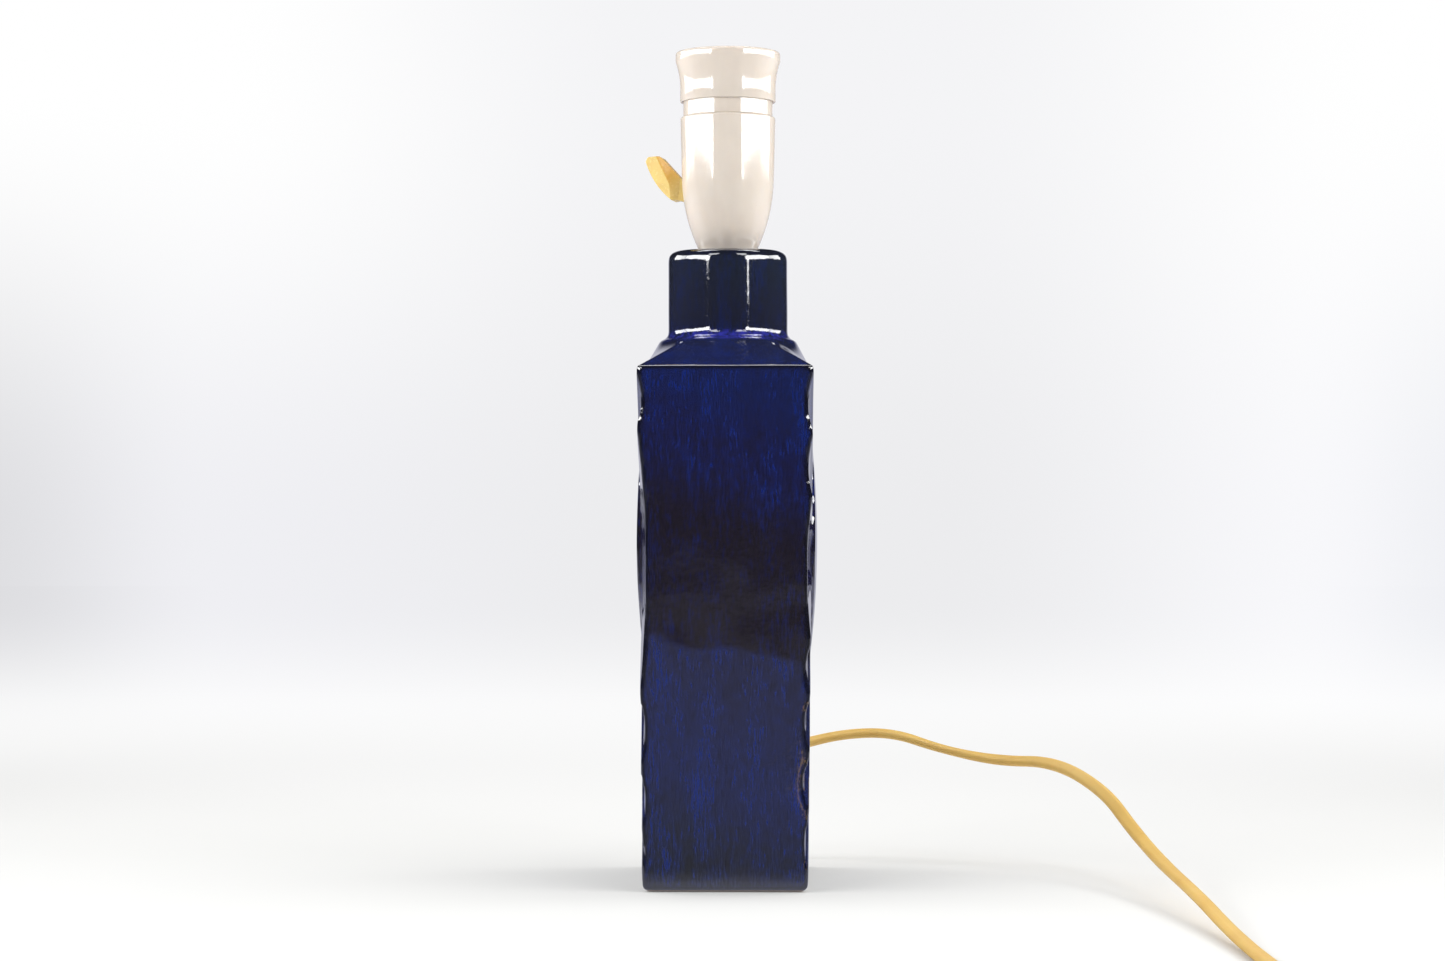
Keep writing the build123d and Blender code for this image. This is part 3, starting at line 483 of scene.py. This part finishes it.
neck_top, cap_top = (corner.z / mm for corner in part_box("holder_cap"))
outside = arc_through((cap_foot, neck_top), (cap_belly, neck_top + cap_belly_height),
                      (cap_shoulder, neck_top + cap_shoulder_height), 24)
flare_slope = (cap_lip - cap_shoulder) / (cap_top - neck_top - cap_shoulder_height)
lip_radius = cap_lip - cap_rounding * flare_slope
outside += [(cap_shoulder + flare_slope * rise, neck_top + cap_shoulder_height + rise)
            for rise in cap_flare_rings]
outside += arc(lip_radius - cap_rounding, cap_top - cap_rounding, cap_rounding, 0, 90, 6)
inner_belly, inner_shoulder = cap_belly - cap_wall, cap_shoulder - cap_wall
inside_wall = arc_through((cap_foot, neck_top + cap_boss), (inner_belly, neck_top + cap_belly_height),
                          (inner_shoulder, neck_top + cap_shoulder_height), 10)
cap = turned("lampholder_cap",
             [(tube_bore, neck_top), (cap_foot - cap_chamfer, neck_top)] + outside
             + [(mouth_bore + cap_chamfer, cap_top), (mouth_bore, cap_top - cap_chamfer),
                (mouth_bore, cap_top - mouth_depth), (inner_shoulder, cap_top - mouth_depth)]
             + inside_wall[::-1] + [(tube_bore, neck_top + cap_boss)])
deselect()
slot_reach, slot_height = (slot_inner + slot_outer) / 2 * mm, (slot_low + slot_high) / 2 * mm
bpy.ops.mesh.primitive_cube_add(size=1, rotation=(0, 0, radians(slot_turn)), location=(
    slot_reach * cos(radians(slot_turn)), slot_reach * sin(radians(slot_turn)), slot_height))
slot_cutter = bpy.context.object
slot_cutter.scale = ((slot_outer - slot_inner) * mm, slot_width * mm, (slot_high - slot_low) * mm)
bpy.ops.object.transform_apply(location=True, rotation=True, scale=True)
modify(slot_cutter, "BEVEL", width=slot_rounding * mm, segments=3)
modify(cap, "BOOLEAN", object=slot_cutter, operation="DIFFERENCE", solver="EXACT")
bpy.data.objects.remove(slot_cutter)
deselect()
cap.select_set(True)
bpy.context.view_layer.objects.active = cap
bpy.ops.object.shade_smooth_by_angle(angle=turned_crease)

cream, start, place, shader = finish("cream_urea", IOR=1.56, Specular_IOR_Level=1.0, Subsurface_Weight=0.12,
                                     Subsurface_Radius=(0.004, 0.003, 0.002), Subsurface_Scale=1.0)
mottle = place.noise(60, 3, 0.55)
flow = place.stretch((1.0, 1.0, 0.25)).noise(220, 3, 0.5)
specks = place.noise(1700, 1, 0.5).over(0.74, 0.78)
tone = ((mottle - 0.5) * 1.6 + (flow - 0.5) * 0.8 + 0.5).mix(cream_dark, cream_light)
tone = (specks * 0.2).mix(tone, cream_speck)
orange_peel = place.noise(900, 2, 0.5)
feed(shader, Base_Color=tone, Roughness=(mottle - 0.5) * 0.06 + 0.10,
     Normal=(orange_peel * 0.2 + mottle * 2.0).bump(0.2, 0.0002))
settle(cap, "holder_cap", "lamp", cream)


# The sleeve screws into the cap and carries the shade ring. A smooth collar shows in the groove that
# takes a shade, and above it a fine thread is hidden by the ring until this is unscrewed.
sleeve_low, sleeve_high = (corner.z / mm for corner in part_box("holder_sleeve"))
ring_low, ring_high = (corner.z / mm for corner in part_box("shade_ring"))
sleeve_radius, sleeve_rounding = 18.15, 0.35
sleeve_bore, sleeve_lip_bore, sleeve_lip = 15.95, 14.65, 1.8
collar_radius, collar_chamfer, collar_foot_chamfer = 18.75, 0.3, 0.25
collar_foot, collar_top = cap_top + 0.1, ring_low + 0.9
thread_pitch, thread_depth, thread_step = 2.0, 0.35, 0.25
thread_end, thread_fade_end, bore_clearance = 0.8, 0.4, 0.5


def wind(piece, low, high, pitch, depth, inner=0.0):
    """Winds a round thread into the rings of a turned piece between two heights, all in mm."""
    for vertex in piece.data.vertices:
        reach = hypot(vertex.co.x, vertex.co.y) / mm
        rise = vertex.co.z / mm - low
        if reach > inner and 0 < rise < high - low:
            turn = atan2(vertex.co.y, vertex.co.x) / (2 * pi)
            fade = min(1.0, rise / pitch, (high - low - rise) / pitch)
            grow = 1 - depth * fade * (0.5 + 0.5 * sin(2 * pi * (rise / pitch - turn))) / reach
            vertex.co.x *= grow
            vertex.co.y *= grow


thread_rings = [(sleeve_radius, collar_top + collar_chamfer + step * thread_step)
                for step in range(int((sleeve_high - thread_end - collar_top) / thread_step))]
sleeve = turned("lampholder_sleeve",
                [(sleeve_bore, sleeve_low), (sleeve_radius, sleeve_low), (sleeve_radius, collar_foot),
                 (collar_radius - collar_foot_chamfer, collar_foot),
                 (collar_radius, collar_foot + collar_chamfer), (collar_radius, collar_top - collar_chamfer),
                 (collar_radius - collar_chamfer, collar_top)] + thread_rings
                + [(sleeve_radius, sleeve_high - sleeve_rounding),
                   (sleeve_radius - sleeve_rounding, sleeve_high),
                   (sleeve_lip_bore + collar_chamfer, sleeve_high),
                   (sleeve_lip_bore, sleeve_high - collar_chamfer),
                   (sleeve_lip_bore, sleeve_high - sleeve_lip), (sleeve_bore, sleeve_high - sleeve_lip)])
wind(sleeve, collar_top, sleeve_high - thread_fade_end, thread_pitch, thread_depth,
     inner=sleeve_bore + bore_clearance)
paint(sleeve, cream)
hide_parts("holder_sleeve")
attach(sleeve, "lamp")


# The shade ring is the same cream plastic. Its skirt runs straight, and then it flares to a rounded
# rim. Inside, a step clears the sleeve's collar and the threads run above it.
ring_skirt, ring_flare = 20.1, 22.05
ring_skirt_height, ring_rim_rounding, ring_chamfer = 5.5, 1.2, 1.4
ring_foot_rounding, ring_foot_bulge, ring_foot_chamfer = 0.45, 0.13, 0.2
ring_bore, ring_step_bore, ring_step = 18.2, 18.95, 7.6
flare_steps = 14
flare_reach = ring_flare - ring_skirt
flare_run = ring_high - ring_low - flare_reach * 2 - ring_skirt_height
flare_radius = (flare_run ** 2 + flare_reach ** 2) / (2 * flare_reach)
flare_low = ring_low + ring_skirt_height
flare = [(ring_skirt + flare_radius - sqrt(flare_radius ** 2 - (flare_run * step / flare_steps) ** 2),
          flare_low + flare_run * step / flare_steps) for step in range(flare_steps + 1)]
rim = arc(ring_flare - ring_rim_rounding, ring_high - ring_rim_rounding, ring_rim_rounding, 0, 90, 7)
ring = turned("flared_ring",
              [(ring_step_bore + ring_foot_chamfer, ring_low), (ring_skirt - ring_foot_rounding, ring_low),
               (ring_skirt - ring_foot_bulge, ring_low + ring_foot_bulge),
               (ring_skirt, ring_low + ring_foot_rounding)] + flare + rim
              + [(ring_bore + ring_chamfer, ring_high), (ring_bore, ring_high - ring_chamfer),
                 (ring_bore, ring_low + ring_step), (ring_step_bore, ring_low + ring_step),
                 (ring_step_bore, ring_low + ring_foot_chamfer)])
settle(ring, "shade_ring", "ring", cream)


# The switch lever is a bellied blade moulded in the same sort of plastic, but it has yellowed strongly.
# Painted shade makes its upper side a deeper orange, and painted light makes its underside paler. Its worn
# edges are a little paler.
lever_rounding = 0.22
lever_edge, lever_crease = radians(14), radians(11)
lever_dark, lever_light, lever_worn = srgb(226, 174, 58), srgb(240, 200, 92), srgb(250, 226, 140)
lever_painted_shade_top, lever_painted_light_underside = srgb(232, 172, 42), srgb(238, 216, 150)
lever = copy_of("switch_lever", "toggle_lever")
modify(lever, "BEVEL", width=lever_rounding * mm, segments=2, limit_method="ANGLE", angle_limit=lever_edge)
bpy.ops.object.shade_smooth_by_angle(angle=lever_crease)
aged, start, place, shader = finish("yellowed_urea", IOR=1.56, Specular_IOR_Level=0.8, Subsurface_Weight=0.15,
                                    Subsurface_Radius=(0.003, 0.002, 0.0008), Subsurface_Scale=1.0)
mottle = place.noise(140, 3, 0.55)
scuffs = place.noise(900, 3, 0.6)
edge = start.node("NewGeometry", out=7)
tone = ((mottle - 0.5) * 1.8 + (scuffs - 0.5) * 0.6 + 0.5).mix(lever_dark, lever_light)
facing = start.node("NewGeometry", out=1)
# Painted shade: facets that face up get a deeper orange. Painted light: facets that face down get a paler
# yellow.
painted_shade_top_mask = facing.part(2).over(0.02, 0.16)
tone = (painted_shade_top_mask * 0.65).mix(tone, lever_painted_shade_top)
tone = ((1 - painted_shade_top_mask) * 0.55).mix(tone, lever_painted_light_underside)
tone = (edge.over(0.53, 0.62) * 0.4).mix(tone, lever_worn)
feed(shader, Base_Color=tone, Roughness=(scuffs - 0.5) * 0.15 + 0.26, Normal=scuffs.bump(0.2, 0.0001))
settle(lever, "switch_lever", "lever", aged)


# The lamp's threaded shell is rolled brass with a round thread of seven turns to the inch, open at
# the top, with a turned-out lip. The contacts, terminals and switch parts are brass too.
shell_low, shell_high = (corner.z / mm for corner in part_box("lamp_thread_shell"))
shell_bore, shell_wall = 13.25, 0.4
shell_lip, shell_lip_height, shell_lip_fall = 0.6, 0.3, 0.05
shell_mouth, shell_plain_end = 0.25, 0.8
lamp_pitch, lamp_thread_depth, lamp_thread_step = 3.63, 0.9, 0.3
shell_rings = [shell_low + lamp_thread_step * step
               for step in range(int((shell_high - shell_plain_end - shell_low) / lamp_thread_step))]
thread_shell = turned("rolled_thread_shell",
                      [(shell_bore + shell_wall, height) for height in shell_rings]
                      + [(shell_bore + shell_wall + shell_lip, shell_high - shell_lip_height),
                         (shell_bore + shell_wall + shell_lip, shell_high),
                         (shell_bore + shell_mouth, shell_high - shell_lip_fall)]
                      + [(shell_bore, height) for height in shell_rings[::-1]], sides=96)
wind(thread_shell, shell_low, shell_rings[-1], lamp_pitch, lamp_thread_depth)

brass, start, place, shader = finish("dull_brass", Metallic=1.0)
tarnish = place.noise(180, 4, 0.6)
scratch = place.stretch((1.0, 1.0, 8.0)).noise(500, 2, 0.5)
feed(shader, Base_Color=((tarnish - 0.5) * 2.2 + 0.45).mix(srgb(214, 178, 104), srgb(138, 104, 56)),
     Roughness=(tarnish - 0.5) * 0.3 + (scratch - 0.5) * 0.2 + 0.36, Normal=scratch.bump(0.2, 0.0001))
settle(thread_shell, "lamp_thread_shell", "lamp", brass)
for name in ("shell_contact", "centre_contact", "insert_screws", "terminal_blocks", "switch_contacts",
             "switch_bridge"):
    paint(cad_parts[name], brass)


# The insulating block is white unglazed steatite, which carries the contacts and the lever's pin.
# The two wires to its terminals are brown and faded blue.
steatite, start, place, shader = finish("white_steatite")
grain = place.noise(2200, 3, 0.6)
stain = place.noise(150, 3, 0.5)
feed(shader, Base_Color=((stain - 0.5) * 1.6 + 0.5).mix(srgb(238, 236, 228), srgb(222, 214, 198)),
     Roughness=(grain - 0.5) * 0.2 + 0.55, Normal=grain.bump(0.3, 0.00015))
paint(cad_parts["contact_block"], steatite)
for name, light_tone, dark_tone in (("live_wire", (150, 96, 60), (124, 74, 44)),
                                    ("neutral_wire", (92, 118, 150), (70, 92, 124))):
    insulation, start, place, shader = finish(name + "_insulation")
    grain = place.noise(800, 2, 0.5)
    feed(shader, Base_Color=((grain - 0.5) * 2 + 0.5).mix(srgb(*light_tone), srgb(*dark_tone)),
         Roughness=(grain - 0.5) * 0.2 + 0.45)
    paint(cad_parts[name], insulation)


# The cord is flat twin flex in yellowed plastic, 5.6 mm wide and 3.4 mm thick, with the faintest dip
# between its two cores. It springs off the bush, arches round the body and runs out on the floor.
cord_width, cord_thickness = 5.6, 3.4
core_dip = 0.12
cord_crease = radians(60)
sheath_dark, sheath_light, sheath_smudge = srgb(211, 171, 90), srgb(222, 186, 106), srgb(196, 150, 78)
floor_gap, layer_gap = 0.05, 0.1
lie_low = cord_thickness / 2 + floor_gap
lie_high = lie_low + cord_thickness + layer_gap
exit_point, exit_straight = Vector((0, 57.224, 44.983)), 20.0
exit_way = Vector((0, 0.99996, -0.00941))
lane_x = 187.99
coil_outer, coil_pitch, coil_y = 41.45, 6.3, -428.0
coil_x = lane_x - coil_outer
turns_in, turns_out, points_a_half_turn = 6, 5, 8
turn_back_share = 0.35
route = [exit_point, exit_point + exit_way * exit_straight]
route += [Vector(stop) for stop in (
    (10, 95.5, 46), (28, 104, 49.5), (50, 102, 55), (72, 93, 56), (92, 80, 49.5), (117, 67, 45),
    (141, 50, 46), (160, 24, 35), (168, -14, 22), (174, -70, 13.5), (179.5, -150, 8.4), (182, -215, 4.2),
    (184.2, -272, 2.2), (186.6, -328, lie_low), (lane_x, -377, lie_low), (lane_x, coil_y + 6, lie_low))]
reaches = [coil_outer - step * coil_pitch / 2 for step in range(turns_in + 1)]
reaches += [reaches[-1] - coil_pitch * turn_back_share, reaches[-1] + coil_pitch * (1 - turn_back_share)]
reaches += [reaches[-1] + step * coil_pitch / 2 for step in range(1, turns_out)]
for step, (reach, next_reach) in enumerate(zip(reaches, reaches[1:] + [reaches[-1] + coil_pitch / 4])):
    for number in range(points_a_half_turn // (2 if step == len(reaches) - 1 else 1)):
        share = number / points_a_half_turn
        turn = -pi * (step + share)
        radius = reach + (next_reach - reach) * share
        climb = min(max(step + share - turns_in, 0), 1)
        route.append(Vector((coil_x + radius * cos(turn), coil_y + radius * sin(turn),
                             lie_low + (lie_high - lie_low) * climb * climb * (3 - 2 * climb))))
tail_start = Vector((139.375, -468.82, lie_high))
plug_height = 6.85
plug_rise = plug_height - lie_high
route += [tail_start + Vector(offset) for offset in (
    (6, 0.2, 0), (0, 0, 0), (-16, 0, 0.4), (-32, 0, plug_rise), (-48, 0, plug_rise))]

deselect()
line = bpy.data.curves.new("cord_line", "CURVE")
line.dimensions = "3D"
line.resolution_u = 10
spline = line.splines.new("NURBS")
spline.points.add(len(route) - 1)
for point, stop in zip(spline.points, route):
    point.co = (*(stop * mm), 1)
spline.order_u = 3
spline.use_endpoint_u = True
line_object = bpy.data.objects.new("cord_line", line)
bpy.context.scene.collection.objects.link(line_object)
sampled = bpy.data.meshes.new_from_object(line_object.evaluated_get(bpy.context.evaluated_depsgraph_get()))
path = [vertex.co.copy() for vertex in sampled.vertices]
bpy.data.objects.remove(line_object)
bpy.data.meshes.remove(sampled)

core_radius, core_steps = cord_thickness / 2, 10
core_offset = cord_width / 2 - core_radius
section = []
for side in (1, -1):
    for step in range(core_steps + 1):
        angle = radians(-90 * side + 180 * step / core_steps)
        section.append((side * core_offset + core_radius * cos(angle), core_radius * sin(angle)))
    section.append((0, side * (core_radius - core_dip)))
rolls = ((0, 47), (0.040, 40), (0.084, 24), (0.133, 2), (0.165, 30), (0.190, 39), (0.225, 40), (0.30, 14),
         (0.36, 0), (3.0, 0))


def roll_at(travelled):
    """Roll of the flat cord about its own line, in degrees, at a distance along it in metres."""
    for (start_at, start_roll), (end_at, end_roll) in zip(rolls, rolls[1:]):
        if travelled <= end_at:
            share = (travelled - start_at) / (end_at - start_at)
            return start_roll + (end_roll - start_roll) * share * share * (3 - 2 * share)
    return rolls[-1][1]


shape = bmesh.new()
rounds = []
travelled = 0.0
for index, point in enumerate(path):
    before, after = path[max(index - 1, 0)], path[min(index + 1, len(path) - 1)]
    tangent = (after - before).normalized()
    if index:
        travelled += (point - path[index - 1]).length
    level = Vector((0, 0, 1)).cross(tangent).normalized()
    lift = tangent.cross(level)
    roll = radians(roll_at(travelled))
    wide = level * cos(roll) + lift * sin(roll)
    thick = lift * cos(roll) - level * sin(roll)
    rounds.append([shape.verts.new(point + (wide * sideways + thick * up) * mm) for sideways, up in section])
for near, ahead in zip(rounds, rounds[1:]):
    for index in range(len(section)):
        following = (index + 1) % len(section)
        shape.faces.new((near[index], near[following], ahead[following], ahead[index]))
shape.faces.new(list(reversed(rounds[0])))
shape.faces.new(rounds[-1])
bmesh.ops.recalc_face_normals(shape, faces=shape.faces)
cord_mesh = bpy.data.meshes.new("flat_cord")
shape.to_mesh(cord_mesh)
shape.free()
cord = bpy.data.objects.new("flat_cord", cord_mesh)
bpy.context.scene.collection.objects.link(cord)
cord.select_set(True)
bpy.context.view_layer.objects.active = cord
bpy.ops.object.shade_smooth_by_angle(angle=cord_crease)

sheath, start, place, shader = finish("yellowed_sheath", Subsurface_Weight=0.12,
                                      Subsurface_Radius=(0.003, 0.002, 0.0008), Subsurface_Scale=1.0)
patch = place.noise(24, 3, 0.6)
scuffs = place.noise(700, 3, 0.6)
smudge = place.noise(110, 3, 0.6)
tone = ((patch - 0.5) * 2 + 0.5).mix(sheath_dark, sheath_light)
tone = (smudge.over(0.58, 0.72) * 0.3).mix(tone, sheath_smudge)
feed(shader, Base_Color=tone, Roughness=(scuffs - 0.5) * 0.15 + 0.42,
     Normal=(scuffs * 0.4 + smudge).bump(0.2, 0.0002))
paint(cord, sheath)
paint(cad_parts["inner_cord"], sheath)
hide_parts("cord_run", "cord_coil", "cord_tail")
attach(cord, "lamp")


# The plug is a flat two-pin plug moulded on the cord in the same yellowed plastic. Its neck has the
# ribs of a strain relief, and its two round pins are plated.
plug_mesh_step = 0.0006
rib_pitch, rib_rise, rib_first, rib_last = 2.6, 0.35, 1.5, 18.5
plug = copy_of("plug_body", "two_pin_plug")
modify(plug, "REMESH", mode="VOXEL", voxel_size=plug_mesh_step, use_smooth_shade=True)
modify(plug, "SMOOTH", factor=0.5, iterations=3)
neck_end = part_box("plug_body")[1].x
plug_axis = Vector((0, tail_start.y, plug_height)) * mm
for vertex in plug.data.vertices:
    along = (neck_end - vertex.co.x) / mm
    if rib_first < along < rib_last:
        outwards = (Vector((0, vertex.co.y, vertex.co.z)) - plug_axis).normalized()
        vertex.co -= outwards * rib_rise * mm * (0.5 + 0.5 * sin(2 * pi * along / rib_pitch))
settle(plug, "plug_body", "lamp", sheath)
paint(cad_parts["plug_pins"], steel)
